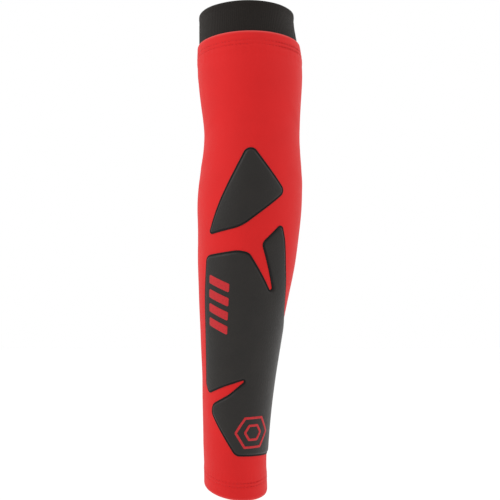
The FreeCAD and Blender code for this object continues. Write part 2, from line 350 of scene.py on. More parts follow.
# ---- mesh making
def make(name, points, faces, uv=None, values=None):
    """A smooth mesh object. uv is one pair in metres per face corner; values are named numbers per point."""
    mesh = bpy.data.meshes.new(name)
    mesh.from_pydata([tuple(map(float, p)) for p in points], [], [tuple(map(int, f)) for f in faces])
    if uv is not None:
        layer = mesh.uv_layers.new(name="cloth")
        layer.data.foreach_set("uv", np.asarray(uv, np.float32).ravel())
    for key, numbers in (values or {}).items():
        attribute = mesh.attributes.new(key, "FLOAT", "POINT")
        attribute.data.foreach_set("value", np.asarray(numbers, np.float32))
    mesh.polygons.foreach_set("use_smooth", np.ones(len(mesh.polygons), bool))
    mesh.validate()
    mesh.update()
    obj = bpy.data.objects.new(name, mesh)
    bpy.context.scene.collection.objects.link(obj)
    return obj


def tube_mesh(name, rows, values=None):
    """A closed ring of quads through rows of points, each running round the sleeve; the last joins the first.
    rows are pairs of points and their v in metres; u runs round the row in true metres."""
    grid = np.array([r[0] for r in rows])
    count, turns = grid.shape[:2]
    girth = np.zeros((count, turns + 1))
    girth[:, 1:] = np.cumsum(np.linalg.norm(np.roll(grid, -1, 1) - grid, axis=2), 1)
    down = np.array([r[1] for r in rows] + [rows[-1][1]])
    i, j = np.meshgrid(np.arange(count), np.arange(turns), indexing="ij")
    i, j = i.ravel(), j.ravel()
    below, beside = (i + 1) % count, (j + 1) % turns
    faces = np.stack([i * turns + j, below * turns + j, below * turns + beside, i * turns + beside], -1)
    wide = girth[i, j], girth[below, j], girth[below, j + 1], girth[i, j + 1]
    tall = down[i], down[below], down[below], down[i]
    uv = np.stack([np.stack(wide, -1), np.stack(tall, -1)], -1)
    return facing_out(make(name, grid.reshape(-1, 3), faces, uv.reshape(-1, 2), values))


def facing_out(obj):
    """The object, with its closed mesh's faces turned outwards if they face in."""
    mesh = obj.data
    volume = 0.0
    for face in mesh.polygons:
        volume += face.center.dot(face.normal) * face.area
    if volume < 0:
        mesh.flip_normals()
    return obj


NEARLY = 0.97  # a point moved in from a loop stays if it is still this share of the way from every side
TRIANGLE_HEIGHT = 0.866  # of a triangle with equal sides
FIRST_GAP = 0.6  # the space between the last ring of points and the plain grid, as a share of its spacing


def filled(loop, rings, spacing):
    """The flat points and triangles that fill a loop: rows of points at the rings' distances from it, and a
    grid of triangles inside them."""
    inside = inward_way(loop)
    points = [loop]
    for gap in rings:
        row = loop + inside * gap
        points.append(row[distance(row, loop) > gap * NEARLY])
    low, high = loop.min(0), loop.max(0)
    xs = np.arange(low[0], high[0], spacing)
    ys = np.arange(low[1], high[1], spacing * TRIANGLE_HEIGHT)
    gx, gy = np.meshgrid(xs, ys)
    gx = gx + (np.arange(len(ys)) % 2)[:, None] * spacing / 2
    inner = np.stack([gx.ravel(), gy.ravel()], -1)
    points.append(inner[distance(inner, loop) > rings[-1] + spacing * FIRST_GAP])
    every = [Vector(p) for p in np.concatenate(points)]
    only_inside, least = 1, 1e-5
    edge = list(range(len(loop)))
    flat, _, triangles, *_ = geometry.delaunay_2d_cdt(every, [], [edge], only_inside, least)
    flat = np.array([tuple(p) for p in flat])
    triangles = np.array([t for t in triangles if len(t) == 3])
    a, b, c = flat[triangles].swapaxes(0, 1)
    turned = (b - a)[:, 0] * (c - a)[:, 1] - (b - a)[:, 1] * (c - a)[:, 0] < 0
    triangles[turned] = triangles[turned][:, ::-1]
    return flat, triangles


def patch_mesh(name, loop, profile, base, low, rings, spacing, inward=1.0):
    """A closed pad over the skin inside a true-pattern loop. profile gives its height in mm from the distance
    to the loop, low its underside's height, and base lifts both; an inward of -1 lays it under the skin."""
    flat, triangles = filled(loop, rings, spacing)
    gap = np.maximum(distance(flat, loop), 0)
    ring, turn = locate(*from_true(flat))
    top, _ = skin(ring, turn, inward * (base(flat) + profile(gap)))
    under, _ = skin(ring, turn, inward * (base(flat) + low))
    count = len(flat)
    sides = np.concatenate([triangles[:, [0, 1]], triangles[:, [1, 2]], triangles[:, [2, 0]]])
    seen = {tuple(s) for s in sides}
    rim = [s for s in sides if (s[1], s[0]) not in seen]
    faces = [tuple(t) for t in triangles] + [tuple(t[::-1] + count) for t in triangles]
    faces += [(s[1], s[0], s[0] + count, s[1] + count) for s in rim]
    where = np.concatenate([flat, flat]) * MM
    uv = [where[i] for f in faces for i in f]
    return facing_out(make(name, np.concatenate([top, under]), faces, uv, {"edge": np.tile(gap, 2)}))


def thread(paths, radius_mm, sides=6, closed=False):
    """Points and faces of round threads along paths of points; the ends of an open one are thinner."""
    thin = 0.35
    points, faces = [], []
    for path in paths:
        path = np.asarray(path)
        ahead = np.roll(path, -1, 0) - np.roll(path, 1, 0)
        if not closed:
            ahead[0], ahead[-1] = path[1] - path[0], path[-1] - path[-2]
        ahead /= np.linalg.norm(ahead, axis=1, keepdims=True)
        out = path - centre_of(ring_at(np.clip(path[:, 2] / MM, WRIST, CUFF_TOP)))
        side = np.cross(ahead, out)
        side /= np.linalg.norm(side, axis=1, keepdims=True)
        out = np.cross(side, ahead)
        size = np.full(len(path), radius_mm * MM)
        if not closed:
            size[0] = size[-1] = radius_mm * MM * thin
        start = len(points)
        for k, p in enumerate(path):
            for s in range(sides):
                t = 2 * math.pi * s / sides
                points.append(p + (side[k] * math.cos(t) + out[k] * math.sin(t)) * size[k])
        last = len(path) if closed else len(path) - 1
        for k in range(last):
            for s in range(sides):
                a, b = start + k * sides, start + (k + 1) % len(path) * sides
                faces.append((a + s, b + s, b + (s + 1) % sides, a + (s + 1) % sides))
        if not closed:
            faces.append(tuple(start + s for s in range(sides)))
            end = start + (len(path) - 1) * sides
            faces.append(tuple(end + s for s in reversed(range(sides))))
    return points, faces


# ---- materials
def new_material(name, base, rough, **sockets):
    """A material, its shader with plain values on the sockets that the keywords name, and its Nodes."""
    mat = bpy.data.materials.new(name)
    mat.use_nodes = True
    shader = mat.node_tree.nodes["Principled BSDF"]
    shader.inputs["Base Color"].default_value = (*base, 1)
    shader.inputs["Roughness"].default_value = rough
    for key, value in sockets.items():
        shader.inputs[key.replace("_", " ").title().replace("Ior", "IOR")].default_value = value
    return mat, shader, Nodes(mat)


class Nodes:
    """Short names for building one material's nodes."""

    def __init__(self, mat):
        self.tree = mat.node_tree

    def add(self, kind, sockets=(), **settings):
        node = self.tree.nodes.new("ShaderNode" + kind)
        for key, value in settings.items():
            setattr(node, key, value)
        for key, value in dict(sockets).items():
            node.inputs[key].default_value = value
        return node

    def link(self, source, target):
        self.tree.links.new(source, target)

    def put(self, value, socket):
        """Sets a number or colour, or links an output."""
        if isinstance(value, (int, float)):
            socket.default_value = value
        elif isinstance(value, tuple):
            socket.default_value = (*value, 1)
        else:
            self.link(value, socket)

    def math(self, operation, a, b=0.0, clamp=False):
        node = self.add("Math", operation=operation, use_clamp=clamp)
        self.put(a, node.inputs[0])
        self.put(b, node.inputs[1])
        return node.outputs[0]

    def uv(self):
        return self.add("UVMap", uv_map="cloth").outputs[0]

    def split(self, vector):
        node = self.add("SeparateXYZ")
        self.link(vector, node.inputs[0])
        return node.outputs[0], node.outputs[1]

    def attribute(self, name):
        return self.add("Attribute", attribute_name=name).outputs["Fac"]

    def waves(self, along, length_mm):
        """Round ridges across a direction, one for each length."""
        turn = self.math("MULTIPLY", along, math.pi / (length_mm * MM))
        return self.math("ABSOLUTE", self.math("SINE", turn))

    def noise(self, vector, scale, detail=2.0, rough=0.5):
        node = self.add("TexNoise", {"Scale": scale, "Detail": detail, "Roughness": rough})
        self.link(vector, node.inputs["Vector"])
        return node.outputs["Fac"]

    def ramp(self, value, stops):
        node = self.add("ValToRGB")
        ramp = node.color_ramp
        while len(ramp.elements) < len(stops):
            ramp.elements.new(0.5)
        for element, (place, colour) in zip(ramp.elements, stops):
            element.position = place
            element.color = (*colour, 1)
        self.link(value, node.inputs[0])
        return node.outputs[0]

    def blend(self, share, a, b):
        node = self.add("Mix", data_type="RGBA")
        self.put(share, node.inputs[0])
        self.put(a, node.inputs[6])
        self.put(b, node.inputs[7])
        return node.outputs[2]

    def bump(self, height, strength, distance_m, shader=None, before=None):
        node = self.add("Bump", {"Strength": strength, "Distance": distance_m})
        self.link(height, node.inputs["Height"])
        if before is not None:
            self.link(before, node.inputs["Normal"])
        if shader is not None:
            self.link(node.outputs[0], shader.inputs["Normal"])
        return node.outputs[0]


def tinted(base, share):
    """A colour made darker or lighter."""
    return tuple(min(1.0, c * share) for c in base)


def knit_material(name, base, fold_highlight, wale_mm=0.95, course_mm=0.72):
    """A fine weft knit: columns of V-shaped loops and heather in the colour, with a painted highlight, a
    paler colour along the folded edges.
    """
    mat, shader, n = new_material(
        name, base, 0.72, specular_ior_level=0.15,
        sheen_weight=0.12, sheen_roughness=0.45, sheen_tint=(0.9, 0.5, 0.48, 1),
    )
    uv = n.uv()
    across, along = n.split(uv)
    wale = n.waves(across, wale_mm)
    slope = n.math("MULTIPLY", n.waves(across, 2 * wale_mm), 2.2)
    course = n.math("SINE", n.math("ADD", n.math("MULTIPLY", along, 2 * math.pi / (course_mm * MM)), slope))
    loops = n.math("ADD", n.math("MULTIPLY", wale, 0.62), n.math("MULTIPLY", course, 0.2))
    broad = n.noise(uv, scale=42.0, detail=3.0)
    fine = n.noise(uv, scale=1500.0, detail=2.0)
    shade = n.math("ADD", n.math("MULTIPLY", broad, 0.6), n.math("MULTIPLY", fine, 0.4))
    colour = n.ramp(shade, [(0.3, tinted(base, 0.95)), (0.5, base), (0.7, tinted(base, 1.04))])
    # painted shade: the colour darkens in the dips between the loops
    dips = n.math("SUBTRACT", 1.0, loops, clamp=True)
    shaded = n.blend(n.math("MULTIPLY", dips, 0.3), colour, tinted(base, 0.55))
    # painted highlight: a paler red along the folded edges at the hem and the wrist, standing in for light
    # caught by the fold
    folded = n.math("MULTIPLY", n.attribute("fold"), 0.8)
    n.link(n.blend(folded, shaded, fold_highlight), shader.inputs["Base Color"])
    n.link(n.math("ADD", 0.64, n.math("MULTIPLY", fine, 0.2)), shader.inputs["Roughness"])
    soft = n.bump(n.noise(uv, scale=160.0, detail=3.0), strength=0.12, distance_m=0.0006)
    n.bump(loops, strength=0.34, distance_m=0.00035, shader=shader, before=soft)
    return mat


def rib_material(name, base, rib_mm=0.8, row_mm=1.05):
    """Covered elastic: close ribs along the arm, crossed by the rubber's tight rows."""
    mat, shader, n = new_material(
        name, base, 0.78, specular_ior_level=0.15,
        sheen_weight=0.11, sheen_roughness=0.5, sheen_tint=(0.5, 0.48, 0.46, 1),
    )
    uv = n.uv()
    across, along = n.split(uv)
    ribs, rows = n.waves(across, rib_mm), n.waves(along, row_mm)
    weave = n.math("ADD", n.math("MULTIPLY", ribs, 0.6), n.math("MULTIPLY", rows, 0.4))
    speck = n.noise(uv, scale=900.0, detail=3.0)
    colour = n.ramp(speck, [(0.32, tinted(base, 0.6)), (0.52, base), (0.74, tinted(base, 1.9))])
    # painted highlight: the colour is lighter on the raised ribs and rows
    n.link(n.blend(n.math("MULTIPLY", weave, 0.35), colour, tinted(base, 1.5)), shader.inputs["Base Color"])
    n.link(n.math("ADD", 0.66, n.math("MULTIPLY", speck, 0.24)), shader.inputs["Roughness"])
    n.bump(weave, strength=0.5, distance_m=0.0004, shader=shader)
    return mat


def pad_material(name, base, rim_mm):
    """Moulded synthetic skin: fine pebble grain, colour darkened near the edge over the rim and the groove,
    and faint scuffs.
    """
    mat, shader, n = new_material(
        name, base, 0.5, specular_ior_level=0.27,
        sheen_weight=0.08, sheen_roughness=0.4, sheen_tint=(0.62, 0.6, 0.58, 1),
    )
    uv = n.uv()
    grain = n.add("TexVoronoi", {"Scale": 1050.0, "Smoothness": 0.6}, feature="SMOOTH_F1")
    n.link(uv, grain.inputs["Vector"])
    cloudy = n.noise(uv, scale=55.0, detail=4.0, rough=0.6)
    scuff = n.noise(uv, scale=260.0, detail=6.0, rough=0.7)
    colour = n.ramp(cloudy, [(0.3, tinted(base, 0.82)), (0.5, base), (0.72, tinted(base, 1.22))])
    # the colour darkens to near black close to the pad's edge, over the rim and the groove
    rim = n.math("SUBTRACT", 2.0, n.math("MULTIPLY", n.attribute("edge"), 2.0 / rim_mm), clamp=True)
    dark = n.blend(rim, colour, tinted(base, 0.12))
    worn = n.math("MULTIPLY", n.math("SUBTRACT", scuff, 0.6), 2.4, clamp=True)
    n.link(n.blend(n.math("MULTIPLY", worn, 0.35), dark, tinted(base, 2.0)), shader.inputs["Base Color"])
    shine = n.math("ADD", n.math("MULTIPLY", scuff, 0.24), n.math("MULTIPLY", rim, 0.3))
    n.link(n.math("ADD", 0.4, shine), shader.inputs["Roughness"])
    soft = n.bump(cloudy, strength=0.15, distance_m=0.0007)
    n.bump(grain.outputs["Distance"], strength=0.45, distance_m=0.0003, shader=shader, before=soft)
    return mat


def mesh_material(name, base):
    """Open spacer mesh on the inner side of the pads: rows of small round holes."""
    mat, shader, n = new_material(name, base, 0.85, sheen_weight=0.2, sheen_roughness=0.6)
    cells = n.add("TexVoronoi", {"Scale": 520.0, "Randomness": 0.12}, feature="F1")
    n.link(n.uv(), cells.inputs["Vector"])
    # painted shade: the colour darkens in the holes
    hole = n.math("SUBTRACT", 1.0, n.math("MULTIPLY", cells.outputs["Distance"], 2.6), clamp=True)
    n.link(n.blend(hole, base, tinted(base, 0.2)), shader.inputs["Base Color"])
    n.bump(n.math("SUBTRACT", 1.0, hole), strength=0.6, distance_m=0.0005, shader=shader)
    return mat


def print_material(name, base):
    """Rubbery transfer ink over the pad's grain."""
    mat, shader, n = new_material(name, base, 0.55, specular_ior_level=0.25)
    speck = n.noise(n.uv(), scale=700.0, detail=4.0)
    colour = n.ramp(speck, [(0.3, tinted(base, 0.8)), (0.55, base), (0.8, tinted(base, 1.1))])
    n.link(colour, shader.inputs["Base Color"])
    n.link(n.math("ADD", 0.4, n.math("MULTIPLY", speck, 0.2)), shader.inputs["Roughness"])
    n.bump(speck, strength=0.25, distance_m=0.0002, shader=shader)
    return mat


def thread_material(name, base):
    """Twisted polyester thread."""
    mat, shader, n = new_material(name, base, 0.6, specular_ior_level=0.2)
    twist = n.noise(n.add("TexCoord").outputs["Object"], scale=2600.0, detail=2.0)
    n.link(n.ramp(twist, [(0.35, tinted(base, 0.7)), (0.6, tinted(base, 1.15))]), shader.inputs["Base Color"])
    n.bump(twist, strength=0.4, distance_m=0.0001, shader=shader)
    return mat


def silicone_material(name, base):
    """Milky silicone with a slightly uneven surface."""
    mat, shader, n = new_material(
        name, base, 0.32, specular_ior_level=0.5, subsurface_weight=0.15, subsurface_scale=0.002
    )
    cloud = n.noise(n.add("TexCoord").outputs["Object"], scale=350.0, detail=3.0)
    n.link(n.ramp(cloud, [(0.3, tinted(base, 0.85)), (0.7, tinted(base, 1.1))]), shader.inputs["Base Color"])
    n.link(n.math("ADD", 0.25, n.math("MULTIPLY", cloud, 0.18)), shader.inputs["Roughness"])
    n.bump(cloud, strength=0.2, distance_m=0.0003, shader=shader)
    return mat


# The second red is a painted highlight, laid along the knit's folded edges.
RED, FOLD_HIGHLIGHT_RED = (0.58, 0.012, 0.012), (0.60, 0.08, 0.075)
BLACK = (0.0078, 0.0058, 0.0046)
PAD = (0.0084, 0.0066, 0.0052)
RIM_MM = 2.2  # how far in from a pad's edge its colour is darkened, over the pressed rim and the groove
red_knit = knit_material("red_knit", RED, FOLD_HIGHLIGHT_RED)
black_rib = rib_material("black_elastic", BLACK)
pad_skin = pad_material("pad_skin", PAD, RIM_MM)
pad_backing = mesh_material("pad_backing", (0.05, 0.05, 0.05))
red_print = print_material("red_print", (0.42, 0.011, 0.015))
red_thread = thread_material("red_thread", (0.5, 0.0092, 0.011))
silicone = silicone_material("silicone", (0.42, 0.42, 0.40))


def dress(obj, mat):
    """Gives a piece its material."""
    obj.data.materials.append(mat)
    return obj


# ---- the knitted sleeve
HEM_ROWS, WRIST_ROWS = (7.6, 10.6), (11.4, 14.4)  # how far from the edges the rows of stitches are, in mm
GROOVE_DEPTH, GROOVE_WIDTH = 0.22, 0.55  # the dent that each row makes
SLEEVE_TURNS = 224
MEAN_RADIUS, MM_PER_DEGREE = 38.0, 0.7
WANDER_MM, WANDER_RATE = 1.2, 0.09  # how far a fold's line strays, and its waves in radians per degree
DIP = 0.45  # the dip beside a fold's ridge, as a share of it
HEM_PUCKER, WRIST_PUCKER = (0.10, 13.5, 4.0), (0.09, 16.5, 3.5)  # size, place from the edge, width in mm


def bend(obj):
    """Bakes a piece's transform into its mesh, leaving it attached to neither body."""
    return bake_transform(obj)


def wave_set(count, low, high, seed):
    """Random directions, wavelengths and phases for a sum of waves."""
    draw = np.random.default_rng(seed)
    way = draw.uniform(0, 2 * math.pi, count)
    number = 2 * math.pi / draw.uniform(low, high, count)
    return np.cos(way) * number, np.sin(way) * number, draw.uniform(0, 2 * math.pi, count)


UNEVEN, UNEVEN_MM = wave_set(count=14, low=26, high=70, seed=3), 0.035
FOLDS = [
    # height, how steep over the girth, depth, half width (mm), angle and spread (degrees)
    (27, 0.10, 0.50, 4.2, 186, 42), (15, -0.06, 0.75, 4.8, 174, 50), (2, 0.05, 0.95, 5.2, 182, 56),
    (-12, -0.10, 0.80, 4.8, 177, 52), (-25, 0.08, 0.55, 4.4, 188, 44), (-38, -0.05, 0.35, 4.0, 176, 36),
    (108, 0.03, 0.22, 5.0, 60, 46), (96, -0.05, 0.18, 5.5, 235, 60), (-216, 0.04, 0.20, 4.2, 215, 60),
    (52, 0.55, 0.32, 8.0, 305, 26), (60, -0.45, 0.26, 8.0, 62, 24), (22, 0.35, 0.28, 7.0, 290, 22),
    (8, -0.35, 0.26, 7.0, 74, 22), (-236, 0.06, 0.16, 5.0, 20, 50),
]


def lie(ring, turn):
    """How far the knit stands off the smooth skin, in mm: slight unevenness everywhere, crumpled folds in the
    crook of the elbow, and puckers along the hems."""
    height = CUFF_TOP - ring * RING_MM
    girth = turn * MEAN_RADIUS
    total = np.zeros(np.broadcast(ring, turn).shape)
    for kx, ky, phase in zip(*UNEVEN):
        total += UNEVEN_MM * np.sin(kx * girth + ky * height + phase)
    degrees = np.degrees(turn) % 360
    for place, slope, depth, half, angle, spread in FOLDS:
        aside = (degrees - angle + 180) % 360 - 180
        wander = WANDER_MM * np.sin(aside * WANDER_RATE + place)
        line = height - place - slope * aside * MM_PER_DEGREE - wander
        ridge, dip = bump_at(line, half * 0.5), bump_at(line + half, half * 0.6)
        total += depth * bump_at(aside, spread * 0.67) * (ridge - DIP * dip)
    pucker = np.sin(turn * 61 + 2.0 * np.sin(turn * 7)) * 0.5 + np.sin(turn * 43 + 1.0) * 0.5
    for (size, place, width), inwards in ((HEM_PUCKER, HEM - height), (WRIST_PUCKER, height - WRIST)):
        total += size * pucker * bump_at(inwards - place, width)
    return total


def clear_of_pads(ring, turn):
    """0 under a pad, rising to 1 a little way outside it."""
    covered, clear = 1.0, 7.0
    point, _ = skin(ring, turn)
    height = point[..., 2] / MM
    girth = ellipse_angle(point, height) * girth_radius(height)
    flat = np.stack([girth, height], -1).reshape(-1, 2)
    inside = np.maximum(distance(flat, ELBOW_LOOP), distance(flat, FOREARM_LOOP))
    return smoothstep(-covered, clear, -inside).reshape(height.shape)


def hem_shape(height):
    """The hems' double cloth, which ends a little past the stitching, and the stitching's grooves, in mm."""
    hem_lift, hem_end, wrist_lift, wrist_end, fade = 0.30, 14.5, 0.28, 15.5, 3.0
    total = hem_lift * (1 - smoothstep(hem_end, hem_end + fade, HEM - height))
    total += wrist_lift * (1 - smoothstep(wrist_end, wrist_end + fade, height - WRIST))
    for row in HEM_ROWS:
        total -= GROOVE_DEPTH * bump_at(HEM - height - row, GROOVE_WIDTH)
    for row in WRIST_ROWS:
        total -= GROOVE_DEPTH * bump_at(height - WRIST - row, GROOVE_WIDTH)
    return total


def sleeve_heights():
    """Heights of the sleeve's rows, from the top down: close together at both edges and in the grooves."""
    near_edge, plain_from, plain_step, least = [0.35, 0.9, 1.7, 2.8, 4.2, 5.8], 7.2, 1.75, 1.0
    fine = [HEM - s for s in near_edge] + [WRIST + s for s in near_edge]
    for middle in [HEM - row for row in HEM_ROWS] + [WRIST + row for row in WRIST_ROWS]:
        fine += [middle + k * GROOVE_WIDTH for k in (2, 1, 0, -1, -2)]
    plain = np.arange(HEM - plain_from, WRIST + plain_from, -plain_step)
    return np.array(sorted(fine + [h for h in plain if min(abs(h - f) for f in fine) > least], reverse=True))


def build_sleeve():
    """The knit as one closed mesh: down the outside, round the wrist edge, up the inside, round the top."""
    edge_drop, edge_radius = 0.9, 1.6
    wrist_sunk, hem_sunk = 1.3, 0.95  # how far inside the skin the middle of each edge is
    turn = SEAM_ANGLE + np.arange(SLEEVE_TURNS) * 2 * math.pi / SLEEVE_TURNS
    heights = sleeve_heights()
    ring = ring_at(heights)[:, None]
    loose = lie(ring, turn) * clear_of_pads(ring, turn)
    stand = loose + hem_shape(heights)[:, None]
    for edge in (HEM - heights, heights - WRIST):
        stand -= edge_drop * (1 - rounded(edge, edge_radius))[:, None]
    outside, _ = skin(ring, turn, stand)
    doubled = KNIT * (1 - smoothstep(14.0, 16.0, heights - WRIST))
    up = np.arange(0, len(heights), 2)[::-1]  # every other row, from the wrist up
    inside, _ = skin(ring[up], turn, loose[up] - KNIT - doubled[up, None])
    wrist_edge, _ = skin(ring_at(WRIST), turn, -wrist_sunk)
    hem_edge, _ = skin(ring_at(HEM), turn, -hem_sunk)
    rows = [(row, (HEM - h) * MM) for row, h in zip(outside, heights)]
    rows.append((wrist_edge, (HEM - WRIST) * MM))
    rows += [(row, (HEM - h) * MM) for row, h in zip(inside, heights[up])]
    rows.append((hem_edge, 0.0))
    # where the painted highlight goes: 1 along the folded edges at the hem and the wrist, 0 on the inside
    fold = list(1 - smoothstep(0.3, 2.2, np.minimum(HEM - heights, heights - WRIST)))
    fold += [1.0] + [0.0] * len(inside) + [1.0]
    obj = tube_mesh("sleeve_knit", rows, {"fold": np.repeat(fold, SLEEVE_TURNS)})
    return dress(obj, red_knit)


sleeve = build_sleeve()
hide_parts("upper_sleeve_shell", "elbow_sleeve_shell", "forearm_sleeve_shell", "wrist_hem")
bend(sleeve)

# ---- the elastic cuff
def build_cuff():
    """The cuff: a folded band with shallow ribs, standing out of the hem."""
    ribs, per_rib, rib_mm = 150, 6, 0.07
    near_top, plain_from, plain_step = [0.3, 0.7, 1.3, 2.2, 3.2], 4.6, 1.9
    half = CUFF_THICK / 2
    turns = ribs * per_rib
    turn = SEAM_ANGLE + np.arange(turns) * 2 * math.pi / turns
    end = HEM - CUFF_TUCK + 1.0
    plain = np.arange(CUFF_TOP - plain_from, end, -plain_step)
    heights = np.concatenate([CUFF_TOP - np.array(near_top), plain, [end]])
    from_top = (CUFF_TOP - heights)[:, None]
    fold = half - half * rounded(from_top, half)
    swell = 0.22 * bump_at(from_top - 2.6, 1.6) - 0.16 * bump_at(from_top - 5.6, 0.7)
    rib = rib_mm * np.cos(np.arange(turns) * 2 * math.pi / per_rib) * smoothstep(0.0, 1.5, from_top)
    sag = 0.12 * np.sin(turn * 5 + 0.6) + 0.08 * np.sin(turn * 9 + 2.0)
    free_sag = sag * smoothstep(24, 4, from_top)
    ring = ring_at(heights)[:, None]
    outside, _ = skin(ring, turn, -CUFF_SUNK - fold + swell + rib + free_sag)
    inside, _ = skin(ring[::-1], turn, (-CUFF_SUNK - CUFF_THICK + fold - rib + free_sag)[::-1])
    top, _ = skin(ring_at(CUFF_TOP), turn, -CUFF_SUNK - half + sag)
    rows = [(row, (CUFF_TOP - h) * MM) for row, h in zip(outside, heights)]
    rows += [(row, (CUFF_TOP - h) * MM) for row, h in zip(inside, heights[::-1])]
    rows.append((top, 0.0))
    return dress(tube_mesh("elastic_cuff", rows), black_rib)


cuff = build_cuff()
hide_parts("cuff_band")
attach(cuff, UPPER)

# ---- the pads
PAD_RINGS = [0.2, 0.45, 0.75, 1.05, 1.35, 1.65, 2.0, 2.4, 2.9, 3.5, 4.3]
LINING_RINGS, LINING_INSET = [0.35, 0.8, 1.5], 5.0
GROOVE_MM = 1.3  # the pressed groove's distance from the pad's edge


def pad_height(gap):
    """A pad's height over the knit from the distance to its edge: a pressed rim, a groove, then the raised
    foam, which crowns slowly towards its middle."""
    rim = 0.6 * rounded(gap, 0.45)
    groove = -0.18 * bump_at(gap - GROOVE_MM, 0.3)
    foam = 0.8 * smoothstep(GROOVE_MM, 3.0, gap)
    crown = 0.4 * (1 - np.exp(-np.maximum(gap - 2.4, 0) / 6.0))
    return rim + groove + (foam + crown)


def lining_height(gap):
    """The lining's profile: level, with a rounded edge."""
    return LINING * rounded(gap, 0.9)


def on_knit(flat):
    """The base of a pad: the skin itself."""
    return 0.0


def under_knit(flat):
    """The base of a lining: the knit's inner face."""
    return KNIT


def shrunk(loop, inset):
    """The loop moved inwards, without stretches that cross at narrow places, its points spaced."""
    nearly, least_step = 0.985, 0.5
    row = loop + inward_way(loop) * inset
    row = row[distance(row, loop) > inset * nearly]
    kept = [row[0]]
    for point in row[1:]:
        if np.linalg.norm(point - kept[-1]) > least_step:
            kept.append(point)
    return np.array(kept)


def build_pad(name, loop):
    """A pad and the lining behind it, on the other side of the knit; each is sunk a little into the knit."""
    pad = patch_mesh(name, loop, pad_height, on_knit, low=-0.45, rings=PAD_RINGS, spacing=1.7)
    dress(pad, pad_skin)
    inner = shrunk(loop, LINING_INSET)
    backing = patch_mesh(
        name + "_lining", inner, lining_height, under_knit,
        low=-0.3, rings=LINING_RINGS, spacing=3.2, inward=-1.0,
    )
    dress(backing, pad_backing)
    for piece in (pad, backing):
        bend(piece)
    return pad, backing


elbow_pad, elbow_backing = build_pad("elbow_pad", ELBOW_LOOP)
forearm_pad, forearm_backing = build_pad("forearm_pad", FOREARM_LOOP)
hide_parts("elbow_pad_cover", "elbow_pad_foam")
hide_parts("forearm_pad_cover", "forearm_pad_foam")
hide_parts("elbow_pad_backing")
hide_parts("forearm_pad_backing")


# ---- prints on the forearm pad
INK_MM, INK_SUNK = 0.26, 0.12
PRINT_STEP = 0.5


def on_pad(flat):
    """The base of a print: the forearm pad's face."""
    return pad_height(np.maximum(distance(flat, FOREARM_LOOP), 0))


def ink(gap):
    """The ink's profile over the pad."""
    return INK_MM * rounded(gap, 0.35)


def joined(name, pieces):
    """One object from several meshes."""
    bpy.ops.object.select_all(action="DESELECT")
    for obj in pieces:
        obj.select_set(True)
    bpy.context.view_layer.objects.active = pieces[0]
    bpy.ops.object.join()
    pieces[0].name = name
    return pieces[0]


def bar(number):
    """Corners of one slanted bar."""
    top = BAR_TOP - number * BAR_PITCH
    slanted = top - BAR_SLANT
    low, slanted_low = top - BAR_HEIGHT, slanted - BAR_HEIGHT
    places = (BAR_LOW, top), (BAR_HIGH, slanted), (BAR_HIGH, slanted_low), (BAR_LOW, low)
    return [(angle, height, BAR_CORNER) for angle, height in places]


bars = joined("forearm_bars", [
    patch_mesh(
        f"bar_{k}", to_true(outline(bar(k), PRINT_STEP)), ink, on_pad,
        low=-INK_SUNK, rings=[0.15, 0.35], spacing=1.2,
    )
    for k in range(BAR_COUNT)
])
dress(bars, red_print)
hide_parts("forearm_bar_print")
bend(bars)


def hexagon(share):
    """Corners of a hexagon that is this share of the emblem's size."""
    angle, height = EMBLEM_CENTRE
    wide, tall = EMBLEM_HALF_ANGLE * share, EMBLEM_HALF_HEIGHT * share
    places = (-1, 0), (-0.5, 1), (0.5, 1), (1, 0), (0.5, -1), (-0.5, -1)
    return [(angle + wide * x, height + tall * y, EMBLEM_CORNER) for x, y in places]


def band_mesh(name, loop, width):
    """A closed line of ink of a width along the inner side of a loop."""
    section = [
        (0.0, -INK_SUNK), (0.0, 0.12), (0.12, 0.22), (0.5, INK_MM),
        (0.88, 0.22), (1.0, 0.12), (1.0, -INK_SUNK),
    ]
    inside = inward_way(loop)
    rows = []
    for share, lift in section:
        flat = loop + inside * width * share
        ring, turn = locate(*from_true(flat))
        rows.append(skin(ring, turn, on_pad(flat) + lift)[0])
    count, strip = len(loop), 0.0003
    faces, uv = [], []
    for r in range(len(rows)):
        a, b = r * count, (r + 1) % len(rows) * count
        for k in range(count):
            after = (k + 1) % count
            faces.append((a + k, b + k, b + after, a + after))
            uv += [loop[k] * MM, loop[k] * MM + strip, loop[after] * MM + strip, loop[after] * MM]
    return facing_out(make(name, np.concatenate(rows), faces, uv))


emblem = joined("wrist_hexagons", [
    band_mesh(f"hexagon_{k}", to_true(outline(hexagon(share), PRINT_STEP)), EMBLEM_LINE)
    for k, share in enumerate(EMBLEM_SHARES)
])
dress(emblem, red_print)
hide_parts("wrist_emblem_print")
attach(emblem, FOREARM)


# ---- stitching
def dashes(height):
    """A row of straight stitches round the sleeve, each sunk at its ends into its groove."""
    pitch_mm, share, start = 3.0, 0.8, 0.01
    arch = np.array([-0.32, 0.02, 0.12, 0.02, -0.32])  # a stitch's height along its length
    ring = float(ring_at(height))
    count = int(round(2 * math.pi * float(girth_radius(height)) / pitch_mm))
    base = hem_shape(np.full(len(arch), height)) + arch
    paths = []
    for k in range(count):
        turn = (k + np.linspace(0, share, len(arch))) * 2 * math.pi / count + start
        paths.append(skin(ring, turn, base + lie(ring, turn))[0])
    return paths


def stitched(name, heights, node, body):
    """Rows of stitches as one piece."""
    points, faces = thread([path for height in heights for path in dashes(height)], radius_mm=0.26)
    obj = make(name, points, faces)
    dress(obj, red_thread)
    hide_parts(node)
    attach(obj, body)


stitched("cuff_hem_stitches", [HEM - row for row in HEM_ROWS], "cuff_hem_stitching", UPPER)
stitched("wrist_hem_stitches", [WRIST + row for row in WRIST_ROWS], "wrist_hem_stitching", FOREARM)

SEAM_HALF_MM = 2.3


